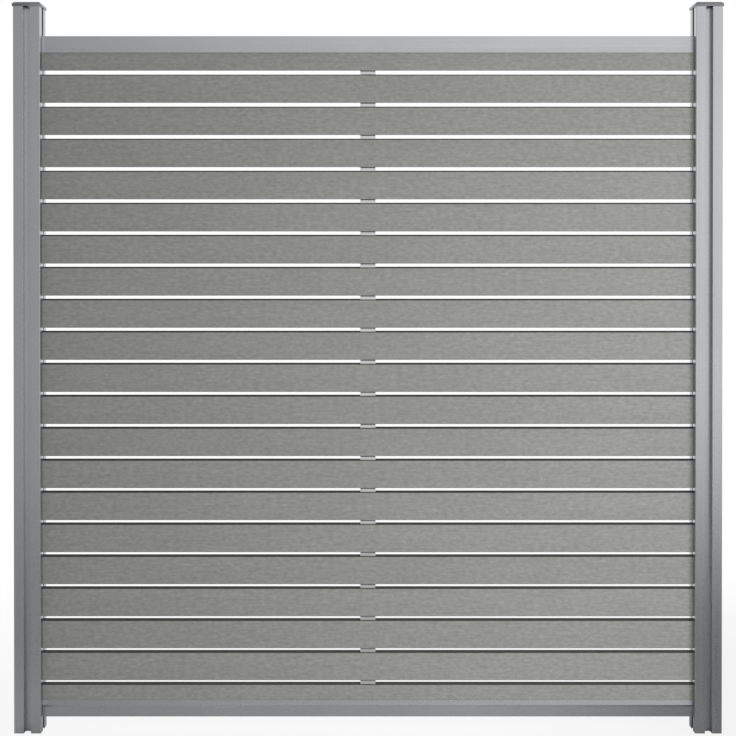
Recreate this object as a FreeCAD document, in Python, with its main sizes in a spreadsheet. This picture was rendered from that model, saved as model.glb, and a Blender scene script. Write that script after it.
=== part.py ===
"""A garden privacy screen: two slotted aluminium posts, two rails and 21 rhombus slats.

Frame: millimetres, Z up, X along the screen, the front towards -Y. The origin is on the
ground, midway between the posts.
"""
import FreeCAD, Part
import os
import Sketcher
from FreeCAD import Placement, Rotation, Vector

SIZES = {
    # posts
    "post_side": 70.0,
    "post_height": 1900.0,
    "post_wall": 2.0,
    "post_corner": 1.5,
    "post_head_room": 74.5,
    "clear_width": 1711.0,
    "groove_play": 0.5,
    "groove_depth": 20.5,
    "groove_floor": 2.5,
    "groove_lip": 0.6,
    "port_bore": 5.0,
    "port_wall": 1.6,
    # caps
    "cap_overhang": 2.3,
    "cap_height": 11.5,
    "cap_bevel": 5.0,
    "cap_recess": 6.0,
    "cap_plug": 15.0,
    "cap_play": 0.3,
    # slats
    "slat_thickness": 17.0,
    "slat_height": 72.4,
    "slat_slant": 4.4,
    "slat_round": 2.0,
    "slat_end_play": 2.5,
    # spacers
    "middle_spacer_length": 40.0,
    "middle_spacer_inset": 0.3,
    "middle_spacer_bevel": 2.4,
    "peg_spacing": 22.0,
    "peg_width": 5.0,
    "peg_length": 8.0,
    "peg_play": 0.1,
    "peg_hole_spare": 1.0,
    "end_spacer_inset": 1.5,
    "end_spacer_play": 3.0,
    # rails
    "rail_height": 43.0,
    "rail_wall": 1.5,
    "rail_web": 2.0,
    "rail_play": 0.3,
    "rail_end_gap": 0.5,
    "tongue_side_play": 0.4,
    "tongue_end_play": 0.5,
    "bottom_rail_lift": 37.0,
    "bottom_skirt": 8.0,
    "nose_depth": 5.0,
    "nose_ramp": 11.0,
    "nose_return": 7.0,
    "top_clearance": 11.7,
    "drip_depth": 1.2,
    "drip_height": 13.0,
    # brackets and screws
    "bracket_thickness": 2.0,
    "bracket_side_play": 1.0,
    "bracket_height": 30.0,
    "bracket_setback": 2.5,
    "bracket_screw_edge": 12.0,
    "ledge_screw_reach": 9.0,
    "screw_width": 3.5,
    "screw_play": 0.15,
    "head_width": 7.0,
    "head_height": 2.6,
    "head_round": 0.8,
    "cross_length": 3.9,
    "cross_width": 1.0,
    "cross_depth": 1.4,
    "rail_screw_spare": 0.8,
}

SLAT_COUNT = 21


class Size(float):
    """A length that also carries the sheet expression it comes from."""

    def __new__(cls, number, text):
        size = super().__new__(cls, number)
        size.text = text
        return size

    def __add__(self, other):
        return Size(float(self) + float(other), f"({self.text} + {expression(other)})")

    def __sub__(self, other):
        return Size(float(self) - float(other), f"({self.text} - {expression(other)})")

    def __mul__(self, other):
        return Size(float(self) * float(other), f"({self.text} * {expression(other)})")

    def __truediv__(self, other):
        return Size(float(self) / float(other), f"({self.text} / {expression(other)})")

    def __neg__(self):
        return Size(-float(self), f"(0 - {self.text})")


def expression(value):
    """The text that an expression takes for a size or for a plain number."""
    return value.text if isinstance(value, Size) else repr(float(value))


def smaller(first, second):
    """The smaller of two sizes."""
    return Size(min(float(first), float(second)), f"min({first.text}; {second.text})")


def make_sheet(doc):
    """The driving dimensions, one to a row, and the sizes that read them."""
    sheet = doc.addObject("Spreadsheet::Sheet", "sizes")
    sheet.Label = "sizes"
    for row, (name, number) in enumerate(SIZES.items(), start=1):
        sheet.set(f"A{row}", name.replace("_", " "))
        sheet.set(f"B{row}", repr(number))
        sheet.setAlias(f"B{row}", name)
    doc.recompute()
    return {name: Size(sheet.get(name), f"sizes.{name}") for name in SIZES}


def bind(item, **sizes):
    """Set properties, and tie those that come from the sheet to it."""
    for name, value in sizes.items():
        setattr(item, name, float(value))
        if isinstance(value, Size):
            item.setExpression(name, value.text)


def place(item, x=0.0, y=0.0, z=0.0, rotation=None):
    """Put an item at a position that follows the sheet."""
    item.Placement = Placement(Vector(float(x), float(y), float(z)), rotation or Rotation())
    for axis, value in (("x", x), ("y", y), ("z", z)):
        if isinstance(value, Size):
            item.setExpression(f"Placement.Base.{axis}", value.text)


def make_body(doc, label):
    body = doc.addObject("PartDesign::Body", label)
    body.Label = label
    return body


def make_sketch(body, role, name, height=None):
    """A sketch on one of the body's own planes, raised along its normal by a height."""
    sketch = body.newObject("Sketcher::SketchObject", name)
    plane = next(item for item in body.Origin.OriginFeatures if item.Role == role)
    sketch.AttachmentSupport = [(plane, "")]
    sketch.MapMode = "FlatFace"
    if height is not None:
        sketch.AttachmentOffset = Placement(Vector(0, 0, float(height)), Rotation())
        sketch.setExpression("AttachmentOffset.Base.z", height.text)
    return sketch


def hold_point(sketch, curve, point, x, y):
    """Hold a sketch point at its coordinates, and on an axis where one of them is 0."""
    for kind, value, axis in (("DistanceX", x, -2), ("DistanceY", y, -1)):
        if value == 0:
            sketch.addConstraint(Sketcher.Constraint("PointOnObject", curve, point, axis))
            continue
        index = sketch.addConstraint(Sketcher.Constraint(kind, curve, point, float(value)))
        sketch.setExpression(f"Constraints[{index}]", expression(value))


def add_outline(sketch, corners):
    """A closed outline of straight lines through the corners."""
    first = sketch.GeometryCount
    count = len(corners)
    for index, (x, y) in enumerate(corners):
        next_x, next_y = corners[(index + 1) % count]
        start = Vector(float(x), float(y), 0)
        end = Vector(float(next_x), float(next_y), 0)
        sketch.addGeometry(Part.LineSegment(start, end), False)
    for index in range(count):
        following = first + (index + 1) % count
        sketch.addConstraint(Sketcher.Constraint("Coincident", first + index, 2, following, 1))
    for index, (x, y) in enumerate(corners):
        hold_point(sketch, first + index, 1, x, y)


def add_box(sketch, x_low, y_low, x_high, y_high):
    add_outline(sketch, [(x_low, y_low), (x_high, y_low), (x_high, y_high), (x_low, y_high)])


def add_circle(sketch, x, y, width):
    curve = sketch.addGeometry(Part.Circle(Vector(float(x), float(y), 0), Vector(0, 0, 1), width / 2), False)
    hold_point(sketch, curve, 3, x, y)
    index = sketch.addConstraint(Sketcher.Constraint("Diameter", curve, float(width)))
    sketch.setExpression(f"Constraints[{index}]", expression(width))


def pad(body, sketch, length, symmetric=False):
    feature = body.newObject("PartDesign::Pad", "Pad")
    feature.Profile = sketch
    feature.SideType = "Symmetric" if symmetric else "One side"
    bind(feature, Length=length)
    return feature


def pocket(body, sketch, length, reverse=False):
    """A cut below its sketch, or above it when reversed."""
    feature = body.newObject("PartDesign::Pocket", "Pocket")
    feature.Profile = sketch
    feature.Reversed = reverse
    bind(feature, Length=length)
    return feature


def four_fold(body, feature):
    """Repeat a feature at the four quarters round the body's Z axis."""
    pattern = body.newObject("PartDesign::PolarPattern", "Quarters")
    pattern.Originals = [feature]
    axis = next(item for item in body.Origin.OriginFeatures if item.Role == "Z_Axis")
    pattern.Axis = (axis, [""])
    pattern.Angle = 360
    pattern.Occurrences = 4
    body.Tip = pattern
    return pattern


def fillet_edges(doc, body, wanted, radius):
    """Round the edges of the body's tip that pass the test."""
    doc.recompute()
    base = body.Tip
    names = [f"Edge{n}" for n, edge in enumerate(base.Shape.Edges, start=1) if wanted(edge)]
    feature = body.newObject("PartDesign::Fillet", "Round")
    feature.Base = (base, names)
    bind(feature, Radius=radius)
    return feature


def lies_along(edge, axis):
    """Whether an edge is a straight one along an axis."""
    if not isinstance(edge.Curve, Part.Line):
        return False
    return abs(abs(edge.Curve.Direction.dot(axis)) - 1) < 1e-6


def groove_width(s):
    """The width of the posts' slots, which take the slats' thickness."""
    return s["slat_thickness"] + s["groove_play"] * 2


def groove_floor(s):
    """How far a slot's floor lies from the post's own axis."""
    return s["post_side"] / 2 - s["groove_depth"]


def port_offset(s):
    """How far a screw port lies from the post's axis, along X and along Y."""
    return (groove_width(s) / 2 + groove_floor(s)) / 2


def port_boss(s):
    """The width of the boss round a screw port."""
    return s["port_bore"] + s["port_wall"] * 2


def post_axis(s):
    """How far each post's axis lies from the screen's middle."""
    return s["clear_width"] / 2 + s["post_side"] / 2


def slat_seat(s):
    """The height at which the lowest slat stands on the bottom rail's web."""
    return s["bottom_rail_lift"] + s["bottom_skirt"] + s["rail_web"]


def upper_ledge(s):
    """The height of the top rail's upper face, where the upper brackets hold its tongues."""
    return s["post_height"] - s["post_head_room"]


def slat_gap(s):
    """The gap over each slat: an equal share of the height that the slats leave free."""
    slats = s["slat_height"] * SLAT_COUNT + s["slat_slant"]
    ceiling = upper_ledge(s) - s["rail_web"] - s["top_clearance"]
    return (ceiling - slat_seat(s) - slats) / (SLAT_COUNT - 1)


def slat_base(s, number):
    """The height of a slat's lower front edge; slats count from 1 at the bottom."""
    return slat_seat(s) + (s["slat_height"] + slat_gap(s)) * (number - 1)


def make_post(doc, s, label, turn):
    """A four-way post, open at both ends: four corner tubes on a square core.

    The slot that takes the panel faces +X before the post is turned.
    """
    body = make_body(doc, label)
    side = s["post_side"] / 2
    slot = groove_width(s) / 2
    floor = groove_floor(s)
    height = s["post_height"]
    outline = make_sketch(body, "XY_Plane", "Outline")
    add_box(outline, -side, -side, side, side)
    pad(body, outline, height)

    core = make_sketch(body, "XY_Plane", "CoreChamber")
    half_core = floor - s["groove_floor"]
    add_box(core, -half_core, -half_core, half_core, half_core)
    pocket(body, core, height, reverse=True)

    corner = make_sketch(body, "XY_Plane", "CornerChamber")
    low = slot + s["post_wall"]
    high = side - s["post_wall"]
    add_box(corner, low, low, high, high)
    four_fold(body, pocket(body, corner, height, reverse=True))

    boss = make_sketch(body, "XY_Plane", "ScrewPortBoss")
    add_circle(boss, port_offset(s), port_offset(s), port_boss(s))
    four_fold(body, pad(body, boss, height))

    port = make_sketch(body, "XY_Plane", "ScrewPort")
    add_circle(port, port_offset(s), port_offset(s), s["port_bore"])
    four_fold(body, pocket(body, port, height, reverse=True))

    groove = make_sketch(body, "XY_Plane", "Groove")
    add_box(groove, floor, -slot, side, slot)
    four_fold(body, pocket(body, groove, height, reverse=True))

    holes = make_sketch(body, "YZ_Plane", "BracketHoles")
    for height in (lower_screw_height(s), upper_screw_height(s)):
        add_circle(holes, 0, height, s["screw_width"] + s["screw_play"] * 2)
    pocket(body, holes, side, reverse=True)

    along = Vector(0, 0, 1)

    def is_outer_corner(edge):
        x, y = abs(edge.CenterOfMass.x), abs(edge.CenterOfMass.y)
        return lies_along(edge, along) and abs(x - side) < 1e-3 and abs(y - side) < 1e-3

    def is_slot_mouth(edge):
        far, near = sorted((abs(edge.CenterOfMass.x), abs(edge.CenterOfMass.y)), reverse=True)
        return lies_along(edge, along) and abs(far - side) < 1e-3 and abs(near - slot) < 1e-3

    fillet_edges(doc, body, is_outer_corner, s["post_corner"])
    fillet_edges(doc, body, is_slot_mouth, s["groove_lip"])
    place(body, post_axis(s) * (1 if turn else -1), rotation=Rotation(Vector(0, 0, 1), turn))
    return body


def make_cap(doc, s, label, direction):
    """A moulded cap: a bevelled lid, hollow below, with four plugs in the corner tubes."""
    body = make_body(doc, label)
    half = s["post_side"] / 2 + s["cap_overhang"]
    lid = make_sketch(body, "XY_Plane", "Lid")
    add_box(lid, -half, -half, half, half)
    pad(body, lid, s["cap_height"])

    doc.recompute()
    top = body.Tip
    edges = [f"Edge{n}" for n, edge in enumerate(top.Shape.Edges, start=1)
             if abs(edge.BoundBox.ZMin - s["cap_height"]) < 1e-6]
    bevel = body.newObject("PartDesign::Chamfer", "Bevel")
    bevel.Base = (top, edges)
    bind(bevel, Size=s["cap_bevel"])

    recess = make_sketch(body, "XY_Plane", "Recess")
    inner = s["post_side"] / 2 - s["post_wall"] - s["cap_play"]
    add_box(recess, -inner, -inner, inner, inner)
    pocket(body, recess, s["cap_recess"], reverse=True)

    plug = make_sketch(body, "XY_Plane", "Plug", height=s["cap_recess"])
    low = port_offset(s) + port_boss(s) / 2 + s["cap_play"]
    add_box(plug, low, low, inner, inner)
    plug_pad = pad(body, plug, s["cap_recess"] + s["cap_plug"])
    plug_pad.Reversed = True
    four_fold(body, plug_pad)
    place(body, post_axis(s) * direction, 0, s["post_height"])
    return body


def make_rail(doc, s, label, corners, web_low, base):
    """A rail between the posts whose web runs on into their slots as tongues."""
    body = make_body(doc, label)
    section = make_sketch(body, "YZ_Plane", "Section")
    add_outline(section, corners)
    pad(body, section, s["clear_width"] - s["rail_end_gap"] * 2, symmetric=True)

    tongue = make_sketch(body, "YZ_Plane", "Tongue")
    half = groove_width(s) / 2 - s["tongue_side_play"]
    add_box(tongue, -half, web_low, half, web_low + s["rail_web"])
    length = s["groove_depth"] - s["bracket_thickness"] - s["tongue_end_play"]
    pad(body, tongue, s["clear_width"] + length * 2, symmetric=True)

    holes = make_sketch(body, "XY_Plane", "ScrewHoles")
    for direction in (-1, 1):
        across = rail_screw_offset(s) * direction
        add_circle(holes, across, 0, s["screw_width"] + s["screw_play"] * 2)
    pocket(body, holes, s["rail_height"], reverse=True)
    place(body, 0, 0, base)
    return body


def mirrored(corners):
    """A section that is the same on both sides of its middle line."""
    return corners + [(-across, height) for across, height in reversed(corners)]


def make_bottom_rail(doc, s):
    """An H section whose upper flanges hold the slat, with a drip nose along both."""
    inner = s["slat_thickness"] / 2 + s["rail_play"]
    outer = inner + s["rail_wall"]
    height = s["rail_height"]
    ridge = height - s["nose_ramp"]
    skirt = s["bottom_skirt"]
    web_top = skirt + s["rail_web"]
    half = [(inner, web_top), (inner, height), (inner + s["rail_wall"] / 2, height),
            (outer + s["nose_depth"], ridge), (outer, ridge - s["nose_return"]),
            (outer, 0), (inner, 0), (inner, skirt)]
    return make_rail(doc, s, "bottom_rail", mirrored(half), skirt, s["bottom_rail_lift"])


def make_top_rail(doc, s):
    """A channel that hangs over the top slat, with lips that lean out a little."""
    inner = s["slat_thickness"] / 2 + s["rail_play"]
    outer = inner + s["rail_wall"]
    height = s["rail_height"]
    web_low = height - s["rail_web"]
    half = [(inner, web_low), (inner, 0), (outer + s["drip_depth"], 0), (outer, s["drip_height"]),
            (outer, height)]
    return make_rail(doc, s, "top_rail", mirrored(half), web_low, upper_ledge(s) - height)


def make_slat(doc, s, number):
    """One rhombus slat, drilled at mid-length above and below for the spacers' pegs."""
    body = make_body(doc, f"slat_{number:02d}")
    half = s["slat_thickness"] / 2
    high = s["slat_height"]
    slant = s["slat_slant"]
    section = make_sketch(body, "YZ_Plane", "Section")
    add_outline(section, [(-half, 0), (half, slant), (half, high + slant), (-half, high)])
    insert = s["groove_depth"] - s["slat_end_play"]
    pad(body, section, s["clear_width"] + insert * 2, symmetric=True)
    fillet_edges(doc, body, lambda edge: lies_along(edge, Vector(1, 0, 0)), s["slat_round"])

    hole = s["peg_width"] + s["peg_play"] * 2
    depth = slant / 2 + s["peg_length"] + s["peg_hole_spare"]
    for name, height, upward in (("LowerPegs", None, True), ("UpperPegs", high + slant, False)):
        holes = make_sketch(body, "XY_Plane", name, height=height)
        for direction in (-1, 1):
            add_circle(holes, s["peg_spacing"] / 2 * direction, 0, hole)
        pocket(body, holes, depth, reverse=upward)
    place(body, 0, 0, slat_base(s, number))
    return body


def make_middle_spacer(doc, s, number):
    """A block with the slats' slope that fills one gap, with two pegs into each slat."""
    body = make_body(doc, f"middle_spacer_{number:02d}")
    half = s["slat_thickness"] / 2 - s["middle_spacer_inset"]
    slope = s["slat_slant"] / s["slat_thickness"]
    gap = slat_gap(s) / 2
    bevel = smaller(s["middle_spacer_bevel"], gap / 2)
    back = half * slope
    front = -half * slope
    shoulder = (bevel - half) * slope
    section = make_sketch(body, "YZ_Plane", "Section")
    add_outline(section, [(bevel - half, shoulder - gap), (half, back - gap), (half, back + gap),
                          (bevel - half, shoulder + gap), (-half, front + gap - bevel),
                          (-half, front - gap + bevel)])
    pad(body, section, s["middle_spacer_length"], symmetric=True)

    pegs = make_sketch(body, "XY_Plane", "Pegs")
    for direction in (-1, 1):
        add_circle(pegs, s["peg_spacing"] / 2 * direction, 0, s["peg_width"])
    pad(body, pegs, gap * 2 + s["peg_length"] * 2, symmetric=True)
    middle = slat_base(s, number + 1) + s["slat_slant"] / 2 - gap
    place(body, 0, 0, middle)
    return body


def make_end_spacers(doc, s, label, direction):
    """The blocks in one post's slot, one in each gap, that keep the slat ends apart."""
    blocks = []
    half = s["slat_thickness"] / 2
    near = s["clear_width"] / 2 + s["end_spacer_inset"]
    far = s["clear_width"] / 2 + s["groove_depth"] - s["end_spacer_play"]
    gap = slat_gap(s)
    for number in range(1, SLAT_COUNT):
        block = doc.addObject("Part::Wedge", f"{label}_{number:02d}")
        low, high = (near, far) if direction > 0 else (-far, -near)
        bind(block, Xmin=low, X2min=low, Xmax=high, X2max=high, Ymin=-half, Ymax=half,
             Zmin=0, Zmax=gap, Z2min=s["slat_slant"], Z2max=gap + s["slat_slant"])
        place(block, 0, 0, slat_base(s, number) + s["slat_height"])
        blocks.append(block)
    group = doc.addObject("Part::Compound", label)
    group.Label = label
    group.Links = blocks
    return group


def rail_screw_offset(s):
    """How far a rail screw lies from the screen's middle."""
    return s["clear_width"] / 2 + s["ledge_screw_reach"]


def bracket_corner(s):
    """How far the slot's floor, on which a bracket's leg lies, is from the screen's middle."""
    return s["clear_width"] / 2 + s["groove_depth"]


def leg_screw_offset(s):
    """How far a bracket's leg screw lies from its ledge."""
    return s["bracket_height"] - s["bracket_screw_edge"]


def lower_ledge(s):
    """The height at which the lower brackets carry the bottom rail's tongues."""
    return s["bottom_rail_lift"] + s["bottom_skirt"]


def lower_screw_height(s):
    return lower_ledge(s) - leg_screw_offset(s)


def upper_screw_height(s):
    return upper_ledge(s) + leg_screw_offset(s)


def make_bracket(doc, s, label, ledge, rotation):
    """An angle: a ledge under the tongue and a leg down the slot's floor, on the left side."""
    body = make_body(doc, label)
    thick = s["bracket_thickness"]
    reach = s["groove_depth"] - s["bracket_setback"]
    section = make_sketch(body, "XZ_Plane", "Section")
    add_outline(section, [(0, 0), (0, -s["bracket_height"]), (thick, -s["bracket_height"]),
                          (thick, -thick), (reach, -thick), (reach, 0)])
    pad(body, section, groove_width(s) - s["bracket_side_play"] * 2, symmetric=True)

    hole = s["screw_width"] + s["screw_play"] * 2
    post_hole = make_sketch(body, "YZ_Plane", "PostScrewHole")
    add_circle(post_hole, 0, -leg_screw_offset(s), hole)
    pocket(body, post_hole, thick, reverse=True)
    rail_hole = make_sketch(body, "XY_Plane", "RailScrewHole")
    across = s["groove_depth"] - s["ledge_screw_reach"]
    add_circle(rail_hole, across, 0, hole)
    pocket(body, rail_hole, thick)
    side = 1 if rotation.multVec(Vector(1, 0, 0)).x < 0 else -1
    place(body, bracket_corner(s) * side, 0, ledge, rotation)
    return body


def make_screws(doc, s, label, length, seats):
    """Pan-head screws with a cross recess; each seat is where a head's flat side bears.

    A screw points along +Z before it is turned, with its head below the seat.
    """
    screws = []
    for index, (x, z, rotation) in enumerate(seats, start=1):
        shank = doc.addObject("Part::Cylinder", f"{label}_shank_{index}")
        bind(shank, Radius=s["screw_width"] / 2, Height=length)
        head = doc.addObject("Part::Cylinder", f"{label}_head_{index}")
        bind(head, Radius=s["head_width"] / 2, Height=s["head_height"])
        place(head, 0, 0, -s["head_height"])
        doc.recompute()
        rim = doc.addObject("Part::Fillet", f"{label}_rim_{index}")
        rim.Base = head
        rim_edge = next(n for n, edge in enumerate(head.Shape.Edges, start=1)
                        if len(edge.Vertexes) == 1 and edge.CenterOfMass.z < -s["head_height"] / 2)
        rim.Edges = [(rim_edge, float(s["head_round"]), float(s["head_round"]))]
        blank = doc.addObject("Part::Fuse", f"{label}_blank_{index}")
        blank.Base = rim
        blank.Tool = shank
        for wide, deep in (("cross_length", "cross_width"), ("cross_width", "cross_length")):
            slot = doc.addObject("Part::Box", f"{label}_{wide}_{index}")
            bind(slot, Length=s[wide], Width=s[deep], Height=s["cross_depth"])
            place(slot, -s[wide] / 2, -s[deep] / 2, -s["head_height"])
            cut = doc.addObject("Part::Cut", f"{label}_cut_{wide}_{index}")
            cut.Base = blank
            cut.Tool = slot
            blank = cut
        place(blank, x, 0, z, rotation)
        screws.append(blank)
    group = doc.addObject("Part::Compound", label)
    group.Label = label
    group.Links = screws
    return group


def make_post_screws(doc, s):
    """Four screws through the brackets' legs into the posts' cores."""
    inside = bracket_corner(s) - s["bracket_thickness"]
    outward = Rotation(Vector(0, 1, 0), 90)
    inward = Rotation(Vector(0, 1, 0), -90)
    seats = []
    for height in (lower_screw_height(s), upper_screw_height(s)):
        seats.append((inside, height, outward))
        seats.append((-inside, height, inward))
    length = s["bracket_thickness"] + s["groove_floor"]
    return make_screws(doc, s, "post_screws", length, seats)


def make_rail_screws(doc, s):
    """Four screws through the brackets' ledges and the rails' tongues."""
    upward = Rotation()
    downward = Rotation(Vector(1, 0, 0), 180)
    seats = []
    for direction in (-1, 1):
        across = rail_screw_offset(s) * direction
        seats.append((across, lower_ledge(s) - s["bracket_thickness"], upward))
        seats.append((across, upper_ledge(s) + s["bracket_thickness"], downward))
    length = s["bracket_thickness"] + s["rail_web"] + s["rail_screw_spare"]
    return make_screws(doc, s, "rail_screws", length, seats)


def make_screen(doc, s):
    """Every piece of the screen, each an object whose label names it."""
    upright = Rotation()
    turned = Rotation(Vector(0, 0, 1), 180)
    flipped = Rotation(Vector(1, 0, 0), 180)
    pieces = [
        make_post(doc, s, "left_post", 0),
        make_post(doc, s, "right_post", 180),
        make_cap(doc, s, "left_post_cap", -1),
        make_cap(doc, s, "right_post_cap", 1),
        make_bottom_rail(doc, s),
        make_top_rail(doc, s),
    ]
    pieces += [make_slat(doc, s, number) for number in range(1, SLAT_COUNT + 1)]
    pieces += [make_middle_spacer(doc, s, number) for number in range(1, SLAT_COUNT)]
    pieces += [
        make_end_spacers(doc, s, "left_end_spacers", -1),
        make_end_spacers(doc, s, "right_end_spacers", 1),
        make_bracket(doc, s, "left_lower_bracket", lower_ledge(s), upright),
        make_bracket(doc, s, "right_lower_bracket", lower_ledge(s), turned),
        make_bracket(doc, s, "left_upper_bracket", upper_ledge(s), flipped),
        make_bracket(doc, s, "right_upper_bracket", upper_ledge(s), turned.multiply(flipped)),
        make_post_screws(doc, s),
        make_rail_screws(doc, s),
    ]
    return pieces


def check(doc, pieces):
    """Stop if any object failed, or if a piece has no sound shape."""
    for item in doc.Objects:
        if "Invalid" in item.State or "Error" in item.State:
            raise RuntimeError(f"{item.Name} failed: {item.State}")
    for piece in pieces:
        if piece.Shape.isNull() or not piece.Shape.isValid():
            raise RuntimeError(f"{piece.Label} has no valid shape")
        print(f"{piece.Label}: {len(piece.Shape.Solids)} solid(s), {piece.Shape.Volume:.1f} mm3")


doc = FreeCAD.newDocument("privacy_screen")
sizes = make_sheet(doc)
pieces = make_screen(doc, sizes)
doc.recompute()
check(doc, pieces)
os.makedirs("parts", exist_ok=True)
for piece in pieces:
    piece.Shape.exportStep(f"parts/{piece.Label}.step")
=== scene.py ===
import math

import bmesh
import bpy
import numpy as np
from bpy.props import FloatProperty, FloatVectorProperty, IntProperty, PointerProperty
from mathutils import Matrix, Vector


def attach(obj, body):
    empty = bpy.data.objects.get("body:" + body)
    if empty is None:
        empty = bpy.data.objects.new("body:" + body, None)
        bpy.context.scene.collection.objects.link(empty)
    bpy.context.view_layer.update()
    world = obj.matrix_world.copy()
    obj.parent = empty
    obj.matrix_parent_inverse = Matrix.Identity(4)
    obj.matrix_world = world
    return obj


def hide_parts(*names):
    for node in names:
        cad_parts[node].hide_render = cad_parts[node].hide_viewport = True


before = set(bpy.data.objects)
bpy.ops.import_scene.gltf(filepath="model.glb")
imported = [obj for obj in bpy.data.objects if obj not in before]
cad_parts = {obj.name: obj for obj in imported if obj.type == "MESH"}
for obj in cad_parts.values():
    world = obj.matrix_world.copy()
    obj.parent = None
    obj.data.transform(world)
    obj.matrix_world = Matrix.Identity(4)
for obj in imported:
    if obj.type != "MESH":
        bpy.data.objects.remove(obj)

bl_info = {
    "name": "Garden privacy screen",
    "version": (1, 0, 0),
    "blender": (4, 5, 0),
    "location": "3D View > Sidebar > Screen",
    "description": "Makes a garden screen's slats, spacers, caps and screws and finishes its metal",
    "category": "Object",
}

MM = 0.001
SLAT_COUNT = 21
SMOOTH_ANGLE = math.radians(32)
TURNED_STEPS = 24
WHITE = (1.0, 1.0, 1.0, 1.0)
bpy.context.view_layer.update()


# Colours and nodes

def linear(code):
    """An sRGB hex colour as linear red, green, blue and alpha."""
    parts = [int(code[i:i + 2], 16) / 255 for i in (1, 3, 5)]
    return tuple(p / 12.92 if p <= 0.04045 else ((p + 0.055) / 1.055) ** 2.4 for p in parts) + (1.0,)


def add(tree, kind, inputs=None, **settings):
    """Add a node; a socket given as an input's value is linked to it, anything else is set on it."""
    node = tree.nodes.new(kind)
    for name, value in settings.items():
        setattr(node, name, value)
    for key, value in (inputs or {}).items():
        if isinstance(value, bpy.types.NodeSocket):
            tree.links.new(value, node.inputs[key])
        else:
            node.inputs[key].default_value = value
    return node


def shaded(color, factor):
    """A colour scaled by a factor, for the darker or lighter end of a pattern."""
    return tuple(c * factor for c in color[:3]) + (1.0,)


def new_material(name):
    """A new material, its node tree, and in that the object's own coordinates."""
    material = bpy.data.materials.new(name)
    material.use_nodes = True
    tree = material.node_tree
    tree.nodes.clear()
    place = add(tree, "ShaderNodeTexCoord").outputs["Object"]
    return material, tree, place


def maths(tree, operation, *values):
    """One or two values put through a calculation."""
    return add(tree, "ShaderNodeMath", dict(enumerate(values)), operation=operation).outputs[0]


def carried(tree, value, low, high, to_low, to_high, course="SMOOTHSTEP"):
    """Carry a value from one range onto another, with smooth ends or, by LINEAR, evenly."""
    return add(tree, "ShaderNodeMapRange",
               {"Value": value, "From Min": low, "From Max": high, "To Min": to_low, "To Max": to_high},
               interpolation_type=course).outputs["Result"]


def stretched_noise(tree, place, grain, detail):
    """Noise whose grain has the given size in millimetres along X, Y and Z."""
    scale = tuple(1 / (size * MM) for size in grain)
    mapped = add(tree, "ShaderNodeMapping", {"Vector": place, "Scale": scale})
    return add(tree, "ShaderNodeTexNoise",
               {"Vector": mapped.outputs["Vector"], "Scale": 1.0, "Detail": detail,
                "Roughness": 0.55}).outputs["Fac"]


def ranged(tree, noise, low, high):
    """Carry a noise value's usual spread, 0.22 about its middle, onto a range."""
    middle, spread = 0.5, 0.22
    return carried(tree, noise, middle - spread, middle + spread, low, high, "LINEAR")


def blended(tree, factor, first, second):
    """Two colours mixed by a factor."""
    return add(tree, "ShaderNodeMix", {0: factor, 6: first, 7: second}, data_type="RGBA").outputs[2]


def dimmed(tree, tint, factor):
    """A colour times a factor."""
    start = tint if isinstance(tint, bpy.types.NodeSocket) else tuple(tint[:3])
    return add(tree, "ShaderNodeVectorMath", {0: start, 1: factor}, operation="MULTIPLY").outputs["Vector"]


def attribute(tree, name):
    """A value that the geometry nodes stored under a name."""
    return add(tree, "ShaderNodeAttribute", attribute_name=name).outputs["Fac"]


def bumped(tree, height, depth, strength):
    """A bump whose full height is a depth in millimetres."""
    return add(tree, "ShaderNodeBump",
               {"Height": height, "Distance": depth * MM, "Strength": strength}).outputs["Normal"]


def close_material(tree, **inputs):
    """End a material in a Principled shader with these inputs."""
    shader = add(tree, "ShaderNodeBsdfPrincipled", {k.replace("_", " "): v for k, v in inputs.items()})
    add(tree, "ShaderNodeOutputMaterial", {"Surface": shader.outputs["BSDF"]})


# Materials

def anodised_aluminium(name, color, along):
    """Extruded aluminium, etched and clear anodised.

    The etch gives a satin, slightly blue grey. Die lines run the length of the extrusion; they are
    about 0.3 mm apart and are drawn 2 to 4 mm apart, so that they show.
    """
    material, tree, place = new_material(name)
    long, short = 900.0, 2.6
    grain = tuple(long if axis == along else short for axis in "XYZ")
    lines = stretched_noise(tree, place, grain, detail=2.0)
    etch = stretched_noise(tree, place, (3.0, 3.0, 3.0), detail=4.0)
    cloud = stretched_noise(tree, place, (160.0, 160.0, 260.0), detail=2.0)
    tint = blended(tree, ranged(tree, cloud, 0.0, 1.0), shaded(color, 0.96), shaded(color, 1.03))
    tint = blended(tree, ranged(tree, lines, 0.0, 0.5), tint, shaded(color, 0.94))
    rough = maths(tree, "ADD", ranged(tree, lines, 0.27, 0.33), ranged(tree, etch, -0.03, 0.03))
    close_material(tree, Base_Color=tint, Metallic=1.0, Roughness=rough,
                   Normal=bumped(tree, lines, 0.05, 0.35))
    return material


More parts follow.
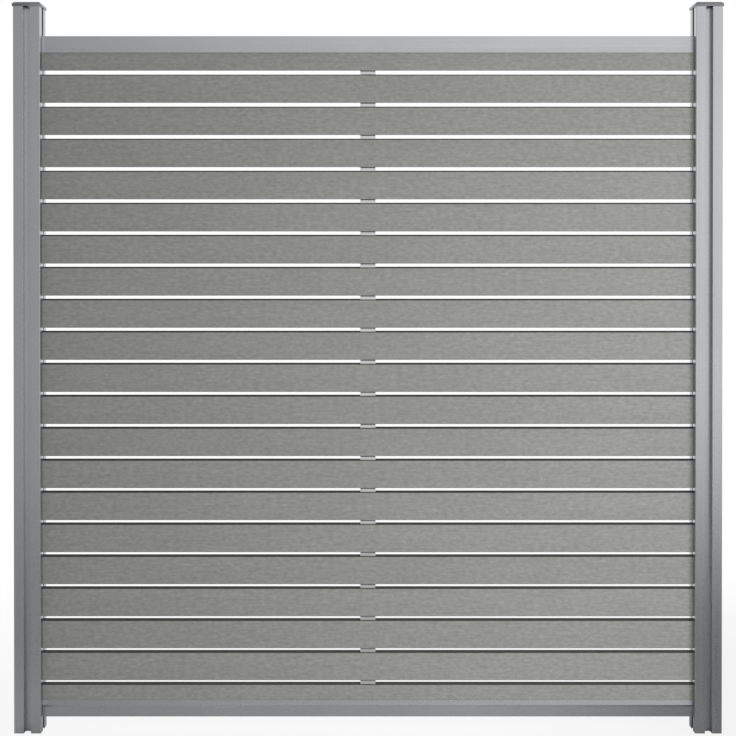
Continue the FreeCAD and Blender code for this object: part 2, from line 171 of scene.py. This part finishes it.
def wood_plastic(name, color):
    """Brushed wood-plastic composite, matt, with wood flour that shows as faint mottling and short fibres.

    The fibres are 5 to 25 mm long and under 1 mm wide, and are drawn 2.4 mm wide, so that they show.
    The narrow faces, the slats' tops and undersides, are darkened as painted shade for the shadow in the gaps
    between the slats. Both kinds of face hardly shine.
    """
    material, tree, place = new_material(name)
    mottle = stretched_noise(tree, place, (15.0, 9.0, 9.0), detail=4.0)
    fibre = stretched_noise(tree, place, (34.0, 2.4, 2.4), detail=3.0)
    cloud = stretched_noise(tree, place, (420.0, 60.0, 60.0), detail=2.0)
    # The factors at a tone of 1 and on a narrow face, whose darkening is painted shade.
    full_tone, painted_gap_shade = 0.94, 0.34
    tint = color
    for factor in (ranged(tree, mottle, 0.86, 1.14), ranged(tree, fibre, 0.92, 1.08),
                   ranged(tree, cloud, 0.97, 1.03),
                   carried(tree, attribute(tree, "tone"), 0.0, 1.0, 1.0, full_tone, "LINEAR"),
                   carried(tree, attribute(tree, "narrow"), 0.0, 1.0, 1.0, painted_gap_shade, "LINEAR")):
        tint = dimmed(tree, tint, factor)
    close_material(tree, Base_Color=tint, Roughness=ranged(tree, mottle, 0.78, 0.90), IOR=1.49,
                   Specular_IOR_Level=0.12, Normal=bumped(tree, maths(tree, "ADD", fibre, mottle), 0.12, 0.5))
    return material


def moulded_plastic(name, color, rough, pigment):
    """Injection-moulded polyamide with aluminium flakes as its pigment and a spark-eroded skin.

    The flakes let it mirror the light as the posts do, by the share given. The skin's grain is about
    0.2 mm and is drawn 1.6 mm wide, so that it breaks up the gloss.
    """
    material, tree, place = new_material(name)
    skin = stretched_noise(tree, place, (1.6, 1.6, 1.6), detail=2.0)
    flow = stretched_noise(tree, place, (26.0, 26.0, 14.0), detail=2.0)
    tint = blended(tree, ranged(tree, flow, 0.0, 1.0), shaded(color, 0.96), shaded(color, 1.04))
    close_material(tree, Base_Color=tint, Metallic=pigment,
                   Roughness=ranged(tree, skin, rough - 0.05, rough + 0.05),
                   IOR=1.53, Normal=bumped(tree, skin, 0.03, 0.4))
    return material


def rolled_aluminium(name, color):
    """Mill-finish aluminium strip, bent to an angle, with bright rolling streaks across the bend."""
    material, tree, place = new_material(name)
    streak = stretched_noise(tree, place, (0.7, 24.0, 0.7), detail=2.0)
    tint = blended(tree, ranged(tree, streak, 0.0, 1.0), shaded(color, 0.92), shaded(color, 1.04))
    close_material(tree, Base_Color=tint, Metallic=1.0, Roughness=ranged(tree, streak, 0.24, 0.36),
                   Normal=bumped(tree, streak, 0.02, 0.3))
    return material


def stainless_steel(name, color):
    """Cold-headed stainless steel: warmer and brighter than the aluminium, with fine tumbling marks."""
    material, tree, place = new_material(name)
    marks = stretched_noise(tree, place, (0.5, 0.5, 0.5), detail=4.0)
    tint = blended(tree, ranged(tree, marks, 0.0, 1.0), shaded(color, 0.90), shaded(color, 1.05))
    close_material(tree, Base_Color=tint, Metallic=1.0, Roughness=ranged(tree, marks, 0.18, 0.32),
                   Normal=bumped(tree, marks, 0.01, 0.3))
    return material


# Geometry Nodes

def new_tree(name, **sockets):
    """A geometry node tree with a geometry in and out, and named inputs of the given kinds."""
    tree = bpy.data.node_groups.new(name, "GeometryNodeTree")
    for way in ("INPUT", "OUTPUT"):
        tree.interface.new_socket("Geometry", in_out=way, socket_type="NodeSocketGeometry")
    for label, kind in sockets.items():
        tree.interface.new_socket(label.replace("_", " "), in_out="INPUT", socket_type=f"NodeSocket{kind}")
    return tree, add(tree, "NodeGroupInput").outputs


def close_tree(tree, geometry, material):
    """Make instances real, give them their material and pass them out."""
    real = add(tree, "GeometryNodeRealizeInstances", {"Geometry": geometry})
    painted = add(tree, "GeometryNodeSetMaterial", {"Geometry": real.outputs[0], "Material": material})
    add(tree, "NodeGroupOutput", {"Geometry": painted.outputs[0]})


def vector(tree, x=0.0, y=0.0, z=0.0):
    """A vector put together from its parts."""
    return add(tree, "ShaderNodeCombineXYZ", {"X": x, "Y": y, "Z": z}).outputs["Vector"]


def stacked_bars_tree():
    """Sweep the incoming section along X and stack copies of the bar up the screen.

    Each bar notes how far its faces look up or down ("narrow"), which its material uses to paint shade on
    those faces, and a chance value ("tone").
    """
    tree, given = new_tree("Stacked bars", Start="Float", End="Float", Edge_Radius="Float", Count="Int",
                           First_Height="Float", Pitch="Float", Tone_Spread="Float", Seed="Int",
                           Material="Material")
    outline = add(tree, "GeometryNodeMeshToCurve", {"Mesh": given["Geometry"]})
    rounded = add(tree, "GeometryNodeFilletCurve",
                  {"Curve": outline.outputs["Curve"], "Radius": given["Edge Radius"], "Count": 5},
                  mode="POLY")
    upright = add(tree, "GeometryNodeTransform",
                  {"Geometry": rounded.outputs["Curve"], "Rotation": (0.0, 0.0, math.pi)})
    run = add(tree, "GeometryNodeCurvePrimitiveLine",
              {"Start": vector(tree, x=given["Start"]), "End": vector(tree, x=given["End"])})
    bar = add(tree, "GeometryNodeCurveToMesh",
              {"Curve": run.outputs["Curve"], "Profile Curve": upright.outputs["Geometry"],
               "Fill Caps": True})
    facing = add(tree, "ShaderNodeSeparateXYZ", {"Vector": add(tree, "GeometryNodeInputNormal").outputs[0]})
    steep = maths(tree, "ABSOLUTE", facing.outputs["Z"])
    # Faces that look steeply up or down, the slats' tops and undersides in the gaps, are marked for painted
    # shade.
    wide_up_to, narrow_from = 0.5, 0.9
    narrow = carried(tree, steep, wide_up_to, narrow_from, 0.0, 1.0, "LINEAR")
    noted = add(tree, "GeometryNodeStoreNamedAttribute",
                {"Geometry": bar.outputs["Mesh"], "Name": "narrow", "Value": narrow},
                data_type="FLOAT", domain="FACE")
    seats = add(tree, "GeometryNodeMeshLine",
                {"Count": given["Count"], "Start Location": vector(tree, z=given["First Height"]),
                 "Offset": vector(tree, z=given["Pitch"])}, mode="OFFSET", count_mode="TOTAL")
    bars = add(tree, "GeometryNodeInstanceOnPoints",
               {"Points": seats.outputs["Mesh"], "Instance": noted.outputs["Geometry"]})
    tone = add(tree, "FunctionNodeRandomValue",
               {2: 0.0, 3: given["Tone Spread"], "Seed": given["Seed"]}, data_type="FLOAT")
    marked = add(tree, "GeometryNodeStoreNamedAttribute",
                 {"Geometry": bars.outputs["Instances"], "Name": "tone", "Value": tone.outputs[1]},
                 data_type="FLOAT", domain="INSTANCE")
    close_tree(tree, marked.outputs["Geometry"], given["Material"])
    return tree


def screws_tree():
    """Cut a cross into the incoming screw, thread it and set four of them at the brackets' holes."""
    tree, given = new_tree("Screws", Half_Span="Float", Low_Seat="Float", High_Seat="Float",
                           Side_Turn="Float", Upper_Turn="Float", Thread_Start="Float",
                           Thread_Length="Float", Thread_Pitch="Float", Thread_Radius="Float",
                           Cross_Length="Float", Cross_Width="Float", Cross_Height="Float",
                           Material="Material")
    turned = given["Geometry"]
    long, narrow = given["Cross Length"], given["Cross Width"]
    # Floors at one height would leave a hole where the blocks cross, so their heights differ a little.
    for across, deep, tall in ((long, narrow, 4.0 * MM), (narrow, long, 3.9 * MM)):
        block = add(tree, "GeometryNodeMeshCube", {"Size": vector(tree, across, deep, tall)})
        place = add(tree, "GeometryNodeTransform",
                    {"Geometry": block.outputs["Mesh"], "Translation": vector(tree, z=given["Cross Height"])})
        cut = add(tree, "GeometryNodeMeshBoolean", {"Mesh 1": turned, "Mesh 2": place.outputs["Geometry"]},
                  operation="DIFFERENCE")
        turned = cut.outputs["Mesh"]
    turns = maths(tree, "DIVIDE", given["Thread Length"], given["Thread Pitch"])
    helix = add(tree, "GeometryNodeCurveSpiral",
                {"Resolution": 24, "Rotations": turns, "Start Radius": given["Thread Radius"],
                 "End Radius": given["Thread Radius"], "Height": given["Thread Length"]})
    ridge = add(tree, "GeometryNodeCurvePrimitiveCircle", {"Resolution": 4, "Radius": 0.25 * MM},
                mode="RADIUS")
    thread = add(tree, "GeometryNodeCurveToMesh",
                 {"Curve": helix.outputs["Curve"], "Profile Curve": ridge.outputs["Curve"],
                  "Fill Caps": True})
    raised = add(tree, "GeometryNodeTransform",
                 {"Geometry": thread.outputs["Mesh"], "Translation": vector(tree, z=given["Thread Start"])})
    screw = add(tree, "GeometryNodeJoinGeometry")
    for part in (turned, raised.outputs["Geometry"]):
        tree.links.new(part, screw.inputs["Geometry"])

    # The grid's corners stand at -1 or 1: X tells left screws from right ones, Y lower from upper ones.
    grid = add(tree, "GeometryNodeMeshGrid",
               {"Size X": 2.0, "Size Y": 2.0, "Vertices X": 2, "Vertices Y": 2})
    corner = add(tree, "ShaderNodeSeparateXYZ",
                 {"Vector": add(tree, "GeometryNodeInputPosition").outputs[0]}).outputs
    across = maths(tree, "MULTIPLY", corner["X"], given["Half Span"])
    height = carried(tree, corner["Y"], -1.0, 1.0, given["Low Seat"], given["High Seat"], "LINEAR")
    side = maths(tree, "MULTIPLY", corner["X"], given["Side Turn"])
    upper = carried(tree, corner["Y"], -1.0, 1.0, 0.0, given["Upper Turn"], "LINEAR")
    turn = add(tree, "FunctionNodeEulerToRotation", {"Euler": vector(tree, x=upper, y=side)})
    noted = add(tree, "GeometryNodeStoreNamedAttribute",
                {"Geometry": grid.outputs["Mesh"], "Name": "turn", "Value": turn.outputs[0]},
                data_type="QUATERNION", domain="POINT")
    seated = add(tree, "GeometryNodeSetPosition",
                 {"Geometry": noted.outputs["Geometry"], "Position": vector(tree, x=across, z=height)})
    facing = add(tree, "GeometryNodeInputNamedAttribute", {"Name": "turn"}, data_type="QUATERNION")
    four = add(tree, "GeometryNodeInstanceOnPoints",
               {"Points": seated.outputs["Geometry"], "Instance": screw.outputs["Geometry"],
                "Rotation": facing.outputs["Attribute"]})
    close_tree(tree, four.outputs["Instances"], given["Material"])
    return tree


def signed_volume(mesh):
    """A mesh's volume, below zero where its faces point inwards, worked out in double precision."""
    mesh.calc_loop_triangles()
    places = np.array([vertex.co for vertex in mesh.vertices], float).reshape(-1, 3)
    a, b, c = (places[[triangle.vertices[i] for triangle in mesh.loop_triangles]] for i in range(3))
    return np.einsum("ij,ij->", a, np.cross(b, c)) / 6


def open_edges(mesh):
    """How many of a mesh's edges aren't shared by exactly two faces."""
    shape = bmesh.new()
    shape.from_mesh(mesh)
    count = sum(not edge.is_manifold for edge in shape.edges)
    shape.free()
    return count


def grow(name, start, tree, values):
    """Run a geometry node tree on a mesh and keep the result as a plain mesh piece."""
    piece = bpy.data.objects.new(name, start)
    bpy.context.scene.collection.objects.link(piece)
    modifier = piece.modifiers.new(tree.name, "NODES")
    modifier.node_group = tree
    for item in tree.interface.items_tree:
        if item.in_out == "INPUT" and item.name in values:
            modifier[item.identifier] = values[item.name]
    return finish_piece(piece)


def finish_piece(piece):
    """Apply the piece's modifiers, and smooth its rounded edges but not its corners."""
    depsgraph = bpy.context.evaluated_depsgraph_get()
    made = bpy.data.meshes.new_from_object(piece.evaluated_get(depsgraph),
                                           preserve_all_data_layers=True, depsgraph=depsgraph)
    piece.modifiers.clear()
    piece.data = made
    made.shade_smooth()
    made.set_sharp_from_angle(angle=SMOOTH_ANGLE)
    loose = open_edges(made)
    if loose:
        raise RuntimeError(f"{piece.name} has {loose} edges that aren't closed")
    if signed_volume(made) <= 0:
        raise RuntimeError(f"{piece.name} came out empty or inside out")
    return piece


def stand_for(piece, slot, *nodes):
    """Let a finished piece ride on the screen in the place of CAD nodes."""
    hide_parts(*nodes)
    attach(piece, "root")


def outline_mesh(name, corners):
    """A closed outline of (depth, height) corners in millimetres."""
    count = len(corners)
    mesh = bpy.data.meshes.new(name)
    mesh.from_pydata([(x * MM, y * MM, 0.0) for x, y in corners],
                     [(i, (i + 1) % count) for i in range(count)], [])
    return mesh


def lathed_mesh(name, profile):
    """A closed turned shape whose profile of (radius, height) in millimetres starts and ends on its axis."""
    shape = bmesh.new()
    angles = [2 * math.pi * step / TURNED_STEPS for step in range(TURNED_STEPS)]
    rings = []
    for radius, height in profile:
        if radius == 0:
            rings.append([shape.verts.new((0.0, 0.0, height * MM))] * TURNED_STEPS)
            continue
        rings.append([shape.verts.new((radius * MM * math.cos(a), radius * MM * math.sin(a), height * MM))
                      for a in angles])
    for low, high in zip(rings, rings[1:]):
        for step in range(TURNED_STEPS):
            following = (step + 1) % TURNED_STEPS
            corners = [low[step], low[following], high[following], high[step]]
            shape.faces.new(list(dict.fromkeys(corners)))
    bmesh.ops.recalc_face_normals(shape, faces=shape.faces)
    mesh = bpy.data.meshes.new(name)
    shape.to_mesh(mesh)
    shape.free()
    return mesh


def merged_copy(node, name):
    """A CAD node's mesh as a new piece, its loose triangles merged and its flat faces made whole."""
    weld_distance, flat_angle = 0.00001, math.radians(1.0)
    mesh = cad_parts[node].data.copy()
    shape = bmesh.new()
    shape.from_mesh(mesh)
    bmesh.ops.remove_doubles(shape, verts=shape.verts, dist=weld_distance)
    bmesh.ops.dissolve_limit(shape, angle_limit=flat_angle, verts=shape.verts, edges=shape.edges)
    mesh.clear_geometry()
    shape.to_mesh(mesh)
    shape.free()
    piece = bpy.data.objects.new(name, mesh)
    bpy.context.scene.collection.objects.link(piece)
    return piece


# Settings

def length_setting(name, description, default):
    """A length that a user can change, given in millimetres."""
    return FloatProperty(name=name, description=description, default=default * MM, unit="LENGTH",
                         subtype="DISTANCE", min=0.0, precision=4)


def colour_setting(name, description, code):
    """A colour that a user can change, given in sRGB hex."""
    return FloatVectorProperty(name=name, description=description, default=linear(code), subtype="COLOR",
                               size=4, min=0.0, max=1.0)


class ScreenSizes(bpy.types.PropertyGroup):
    """The lengths of the slats and the spacers"""
    slat_count: IntProperty(name="Slats", description="How many slats the screen has", default=SLAT_COUNT,
                            min=2)
    slat_half_length: length_setting("Slat half length", "From the middle to a slat's end", 873.5)
    slat_thickness: length_setting("Slat thickness", "From front to back", 17.0)
    slat_height: length_setting("Slat height", "Of a slat's front face", 72.4)
    slat_slant: length_setting("Slat slant", "How much higher the back edge lies than the front edge", 4.4)
    slat_round: length_setting("Slat edge radius", "Of a slat's long edges", 1.3)
    slat_seat: length_setting("Slat seat", "Height of the lowest slat's front edge", 47.0)
    slat_gap: length_setting("Gap", "Between two slats", 12.0)
    spacer_half_length: length_setting("Middle spacer half length", "Of the blocks at mid-length", 20.0)
    spacer_inset: length_setting("Middle spacer inset", "How far the blocks lie behind the slats' faces", 0.3)
    spacer_bevel: length_setting("Middle spacer bevel", "Along the front edges of the blocks", 2.4)
    end_spacer_near: length_setting("End spacer start", "From the middle to the near side", 857.0)
    end_spacer_far: length_setting("End spacer end", "From the middle to the far side", 873.0)


class ScreenColours(bpy.types.PropertyGroup):
    """The colour of each material"""
    slat: colour_setting("Slats", "Wood-plastic composite", "#969693")
    metal: colour_setting("Posts and rails", "Clear anodised aluminium", "#b7b9bc")
    cap: colour_setting("Caps", "Moulded plastic", "#87898c")
    spacer: colour_setting("Spacers", "Silver moulded plastic", "#cccccb")
    bracket: colour_setting("Brackets", "Mill-finish aluminium", "#b9bbbd")
    screw: colour_setting("Screws", "Stainless steel", "#b3b0ab")


def settings():
    """The screen's sizes and colours, as set in the scene."""
    scene = bpy.context.scene
    return scene.screen_sizes, scene.screen_colours


# Operators

class SCREEN_OT_slats(bpy.types.Operator):
    """Make the stack of rhombus slats"""
    bl_idname = "privacy_screen.slats"
    bl_label = "Slats"

    def execute(self, context):
        sizes, colours = settings()
        half = sizes.slat_thickness / 2 / MM
        high = sizes.slat_height / MM
        slant = sizes.slat_slant / MM
        section = outline_mesh("slat_section",
                               [(-half, 0), (half, slant), (half, high + slant), (-half, high)])
        slats = grow("slats", section, stacked_bars_tree(), {
            "Start": -sizes.slat_half_length, "End": sizes.slat_half_length,
            "Edge Radius": sizes.slat_round, "Count": sizes.slat_count,
            "First Height": sizes.slat_seat, "Pitch": sizes.slat_height + sizes.slat_gap,
            "Tone Spread": 0.35, "Seed": 4, "Material": wood_plastic("wood_plastic_composite", colours.slat)})
        stand_for(slats, "wood_plastic", *(f"slat_{n:02d}" for n in range(1, SLAT_COUNT + 1)))
        return {"FINISHED"}


class SCREEN_OT_spacers(bpy.types.Operator):
    """Make the blocks at mid-length and those in the posts' slots"""
    bl_idname = "privacy_screen.spacers"
    bl_label = "Spacers"

    def execute(self, context):
        sizes, colours = settings()
        plastic = moulded_plastic("silver_moulded_plastic", colours.spacer, 0.30, 0.9)
        half = (sizes.slat_thickness / 2 - sizes.spacer_inset) / MM
        slope = sizes.slat_slant / sizes.slat_thickness
        half_gap = sizes.slat_gap / 2 / MM
        bevel = sizes.spacer_bevel / MM
        section = outline_mesh("middle_spacer_section", [
            (bevel - half, (bevel - half) * slope - half_gap), (half, half * slope - half_gap),
            (half, half * slope + half_gap), (bevel - half, (bevel - half) * slope + half_gap),
            (-half, -half * slope + half_gap - bevel), (-half, -half * slope - half_gap + bevel)])
        pitch = sizes.slat_height + sizes.slat_gap
        middle = sizes.slat_seat + pitch + sizes.slat_slant / 2 - sizes.slat_gap / 2
        blocks = grow("middle_spacers", section, stacked_bars_tree(), {
            "Start": -sizes.spacer_half_length, "End": sizes.spacer_half_length, "Edge Radius": 0.6 * MM,
            "Count": sizes.slat_count - 1, "First Height": middle, "Pitch": pitch, "Tone Spread": 0.0,
            "Seed": 2, "Material": plastic})
        stand_for(blocks, "spacer_plastic", *(f"middle_spacer_{n:02d}" for n in range(1, SLAT_COUNT)))

        deep = sizes.slat_thickness / 2 / MM
        lift = sizes.slat_slant / MM
        low = sizes.slat_seat + sizes.slat_height
        for side, sign in (("left", -1), ("right", 1)):
            section = outline_mesh(f"{side}_end_spacer_section",
                                   [(-deep, 0), (deep, lift), (deep, half_gap * 2 + lift),
                                    (-deep, half_gap * 2)])
            ends = sorted((sign * sizes.end_spacer_near, sign * sizes.end_spacer_far))
            blocks = grow(f"{side}_end_spacer_blocks", section, stacked_bars_tree(), {
                "Start": ends[0], "End": ends[1], "Edge Radius": 0.8 * MM,
                "Count": sizes.slat_count - 1, "First Height": low, "Pitch": pitch, "Tone Spread": 0.0,
                "Seed": 3, "Material": plastic})
            stand_for(blocks, "spacer_plastic", f"{side}_end_spacers")
        return {"FINISHED"}


class SCREEN_OT_caps(bpy.types.Operator):
    """Give the post caps softened moulded edges"""
    bl_idname = "privacy_screen.caps"
    bl_label = "Post caps"

    def execute(self, context):
        _, colours = settings()
        plastic = moulded_plastic("grained_moulded_polyamide", colours.cap, 0.36, 0.85)
        for side in ("left", "right"):
            cap = merged_copy(f"{side}_post_cap", f"{side}_cap")
            cap.data.materials.clear()
            cap.data.materials.append(plastic)
            edges = cap.modifiers.new("Softened edges", "BEVEL")
            edges.width = 0.5 * MM
            edges.segments = 3
            edges.limit_method = "ANGLE"
            edges.angle_limit = math.radians(30)
            finish_piece(cap)
            stand_for(cap, "cap_plastic", f"{side}_post_cap")
        return {"FINISHED"}


class SCREEN_OT_screws(bpy.types.Operator):
    """Make the pan-head screws of the brackets"""
    bl_idname = "privacy_screen.screws"
    bl_label = "Screws"

    def execute(self, context):
        _, colours = settings()
        steel = stainless_steel("cold_headed_stainless_steel", colours.screw)
        # Half the span between the screws, their low and high seats, the turns to their holes, their length.
        kinds = (
            ("post_screws", 874.0, 27.0, 1843.5, math.pi / 2, 0.0, 4.5),
            ("rail_screws", 864.5, 43.0, 1827.5, 0.0, math.pi, 4.8),
        )
        for node, span, low, high, side_turn, upper_turn, length in kinds:
            # Radius and height, from the domed top of the head to the chamfered end of the shank.
            profile = [(0, -2.6), (2.1, -2.6), (2.7, -2.45), (3.2, -2.0), (3.5, -1.3), (3.5, -0.3),
                       (3.35, 0), (1.45, 0), (1.45, length - 0.5), (0.95, length), (0, length)]
            start = lathed_mesh(f"{node}_turned", profile)
            screws = grow(f"{node}_threaded", start, screws_tree(), {
                "Half Span": span * MM, "Low Seat": low * MM, "High Seat": high * MM,
                "Side Turn": side_turn, "Upper Turn": upper_turn, "Thread Start": 0.5 * MM,
                "Thread Length": (length - 1.0) * MM, "Thread Pitch": 1.0 * MM,
                "Thread Radius": 1.5 * MM, "Cross Length": 3.9 * MM, "Cross Width": 1.0 * MM,
                "Cross Height": -3.2 * MM, "Material": steel})
            stand_for(screws, "stainless_steel", node)
        return {"FINISHED"}


class SCREEN_OT_metal(bpy.types.Operator):
    """Finish the posts, rails and brackets, which keep their CAD shapes"""
    bl_idname = "privacy_screen.metal"
    bl_label = "Posts, rails and brackets"

    def execute(self, context):
        _, colours = settings()
        upright = anodised_aluminium("anodised_aluminium_upright", colours.metal, "Z")
        level = anodised_aluminium("anodised_aluminium_level", colours.metal, "X")
        strip = rolled_aluminium("mill_finish_aluminium", colours.bracket)
        finishes = {"left_post": upright, "right_post": upright, "top_rail": level, "bottom_rail": level}
        for place in ("left_lower", "left_upper", "right_lower", "right_upper"):
            finishes[f"{place}_bracket"] = strip
        for node, material in finishes.items():
            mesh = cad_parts[node].data
            mesh.materials.clear()
            mesh.materials.append(material)
        return {"FINISHED"}


class SCREEN_OT_stage(bpy.types.Operator):
    """Set up the pale floor, the soft light and the camera"""
    bl_idname = "privacy_screen.stage"
    bl_label = "Stage"

    def execute(self, context):
        make_floor()
        make_world()
        make_lamps()
        make_camera()
        context.scene.view_settings.view_transform = "Standard"
        return {"FINISHED"}


class SCREEN_PT_panel(bpy.types.Panel):
    """Lists the sizes, the colours and the steps that make the screen"""
    bl_idname = "SCREEN_PT_panel"
    bl_label = "Garden privacy screen"
    bl_space_type = "VIEW_3D"
    bl_region_type = "UI"
    bl_category = "Screen"

    def draw(self, context):
        for group in (context.scene.screen_sizes, context.scene.screen_colours):
            for name in group.bl_rna.properties.keys():
                if name not in ("rna_type", "name"):
                    self.layout.prop(group, name)
        for operator in OPERATORS:
            self.layout.operator(operator.bl_idname)


# Stage

def make_floor():
    """A pale floor that the camera sees as white, with the screen's soft shadow kept near it.

    Places on it are in metres. Its paint is darker at the right, at the left and in front, painted shade for
    the darker tones that the metal mirrors from it; behind the screen the metal mirrors it as nearly white.
    """
    half = 3.0
    near, far, white_near, white_far = 0.9, 2.6, 0.86, 1.0
    white_mirrored = 0.9
    pale, right_shade, left_shade, front_painted_shade = "#efefee", "#767675", "#dcdcdb", 0.70
    mesh = bpy.data.meshes.new("floor")
    mesh.from_pydata([(-half, -half, 0), (half, -half, 0), (half, half, 0), (-half, half, 0)], [],
                     [(0, 1, 2, 3)])
    floor = bpy.data.objects.new("floor", mesh)
    bpy.context.scene.collection.objects.link(floor)
    material, tree, place = new_material("matt_pale_paint")
    ray = add(tree, "ShaderNodeLightPath").outputs
    away = add(tree, "ShaderNodeVectorMath", {0: place}, operation="LENGTH").outputs["Value"]
    across, behind, _ = add(tree, "ShaderNodeSeparateXYZ", {"Vector": place}).outputs
    seen = maths(tree, "MULTIPLY", maths(tree, "MAXIMUM", ray["Is Camera Ray"], ray["Is Transmission Ray"]),
                 carried(tree, away, near, far, white_near, white_far))
    mirrored = maths(tree, "MULTIPLY", ray["Is Glossy Ray"],
                     carried(tree, behind, 0.0, 0.6, 0.0, white_mirrored))
    # Painted shade: the paint darkens towards the right, the left and the front, for the metal to mirror.
    tint = blended(tree, carried(tree, across, 0.25, 1.3, 0.0, 1.0), linear(pale), linear(right_shade))
    tint = blended(tree, carried(tree, across, -1.1, -0.3, 1.0, 0.0), tint, linear(left_shade))
    tint = dimmed(tree, tint, carried(tree, behind, -0.9, -0.25, front_painted_shade, 1.0))
    paint = add(tree, "ShaderNodeBsdfDiffuse", {"Color": tint})
    white = add(tree, "ShaderNodeEmission", {"Color": WHITE, "Strength": 1.0})
    mixed = add(tree, "ShaderNodeMixShader",
                {0: maths(tree, "MAXIMUM", seen, mirrored), 1: paint.outputs[0], 2: white.outputs[0]})
    add(tree, "ShaderNodeOutputMaterial", {"Surface": mixed.outputs[0]})
    mesh.materials.append(material)


def make_world():
    """White behind the screen, in its reflections too, and a soft studio around it.

    The metal mirrors studio walls: a bright one at the right, fading towards its far end, a dark stretch left
    of the middle, a bright one at the far left, and darker overhead. Everything else gets plain, even light,
    stronger from above. Where they begin and end is given as part of a direction whose length is 1.
    """
    left_wall, dark_wall, right_wall = 0.95, 0.34, 1.2
    far_end_factor, overhead_factor = 0.75, 0.30
    plain_level, plain_overhead = 0.36, 0.72
    world = bpy.data.worlds.new("studio")
    bpy.context.scene.world = world
    world.use_nodes = True
    tree = world.node_tree
    tree.nodes.clear()
    ray = add(tree, "ShaderNodeLightPath").outputs
    towards = add(tree, "ShaderNodeTexCoord").outputs["Generated"]
    right, behind, up = add(tree, "ShaderNodeSeparateXYZ", {"Vector": towards}).outputs
    passing = maths(tree, "MAXIMUM", ray["Is Glossy Ray"], ray["Is Transmission Ray"])
    mirrored = maths(tree, "MULTIPLY", passing, carried(tree, behind, -0.05, 0.3, 0.0, 1.0))
    wall = maths(tree, "MAXIMUM", carried(tree, right, -0.36, 0.13, dark_wall, right_wall),
                 carried(tree, right, -0.85, -0.5, left_wall, 0.0))
    wall = maths(tree, "MULTIPLY", wall, carried(tree, right, 0.12, 0.95, 1.0, far_end_factor))
    wall = maths(tree, "MULTIPLY", wall, carried(tree, up, 0.32, 0.95, 1.0, overhead_factor))
    plain = carried(tree, up, 0.45, 0.95, plain_level, plain_overhead)
    level = add(tree, "ShaderNodeMix", {0: ray["Is Glossy Ray"], 2: plain, 3: wall},
                data_type="FLOAT").outputs[0]
    studio = add(tree, "ShaderNodeBackground", {"Color": WHITE, "Strength": level})
    white = add(tree, "ShaderNodeBackground", {"Color": WHITE, "Strength": 1.0})
    mixed = add(tree, "ShaderNodeMixShader",
                {0: maths(tree, "MAXIMUM", ray["Is Camera Ray"], mirrored), 1: studio.outputs[0],
                 2: white.outputs[0]})
    add(tree, "ShaderNodeOutputWorld", {"Surface": mixed.outputs[0]})


def make_lamps():
    """A softbox in front of the screen, right of the camera, and one behind.

    The metal doesn't mirror them; it mirrors the studio's walls instead.
    """
    # Place and aim in metres, width and height in metres, power in watts.
    lamps = (
        ("back_softbox", (-0.9, 2.6, 1.20), (0.0, 0.0, 0.95), 1.8, 1.8, 34.0),
        ("key_softbox", (1.3, -2.15, 0.98), (0.6, 0.0, 0.98), 1.3, 2.1, 45.5),
    )
    for name, place, aim, width, height, power in lamps:
        light = bpy.data.lights.new(name, "AREA")
        light.shape = "RECTANGLE"
        light.size, light.size_y, light.energy = width, height, power
        lamp = bpy.data.objects.new(name, light)
        lamp.location = place
        lamp.visible_glossy = False
        lamp.visible_camera = False
        lamp.rotation_euler = (Vector(aim) - Vector(place)).to_track_quat("-Z", "Y").to_euler()
        bpy.context.scene.collection.objects.link(lamp)


def make_camera():
    """A long lens at chest height in front of the screen, looking almost level."""
    data = bpy.data.cameras.new("camera")
    data.sensor_width = 36.0
    data.lens = 71.58
    data.shift_x = 0.0001
    data.shift_y = -0.1334
    data.clip_end = 100.0
    camera = bpy.data.objects.new("camera", data)
    camera.location = (0.0, -3.853, 1.242)
    camera.rotation_euler = (math.radians(90 - 0.4387), 0.0, 0.0)
    bpy.context.scene.collection.objects.link(camera)
    bpy.context.scene.camera = camera


OPERATORS = (SCREEN_OT_slats, SCREEN_OT_spacers, SCREEN_OT_caps, SCREEN_OT_screws, SCREEN_OT_metal,
             SCREEN_OT_stage)
CLASSES = (ScreenSizes, ScreenColours, *OPERATORS, SCREEN_PT_panel)


def register():
    """Make the add-on's classes and settings known."""
    for kind in CLASSES:
        bpy.utils.register_class(kind)
    bpy.types.Scene.screen_sizes = PointerProperty(type=ScreenSizes)
    bpy.types.Scene.screen_colours = PointerProperty(type=ScreenColours)


def unregister():
    """Take the add-on's settings and classes out again."""
    del bpy.types.Scene.screen_colours
    del bpy.types.Scene.screen_sizes
    for kind in reversed(CLASSES):
        bpy.utils.unregister_class(kind)


def main():
    """Register the add-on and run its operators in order."""
    register()
    for operator in OPERATORS:
        group, name = operator.bl_idname.split(".")
        getattr(getattr(bpy.ops, group), name)()


if __name__ == "__main__":
    main()
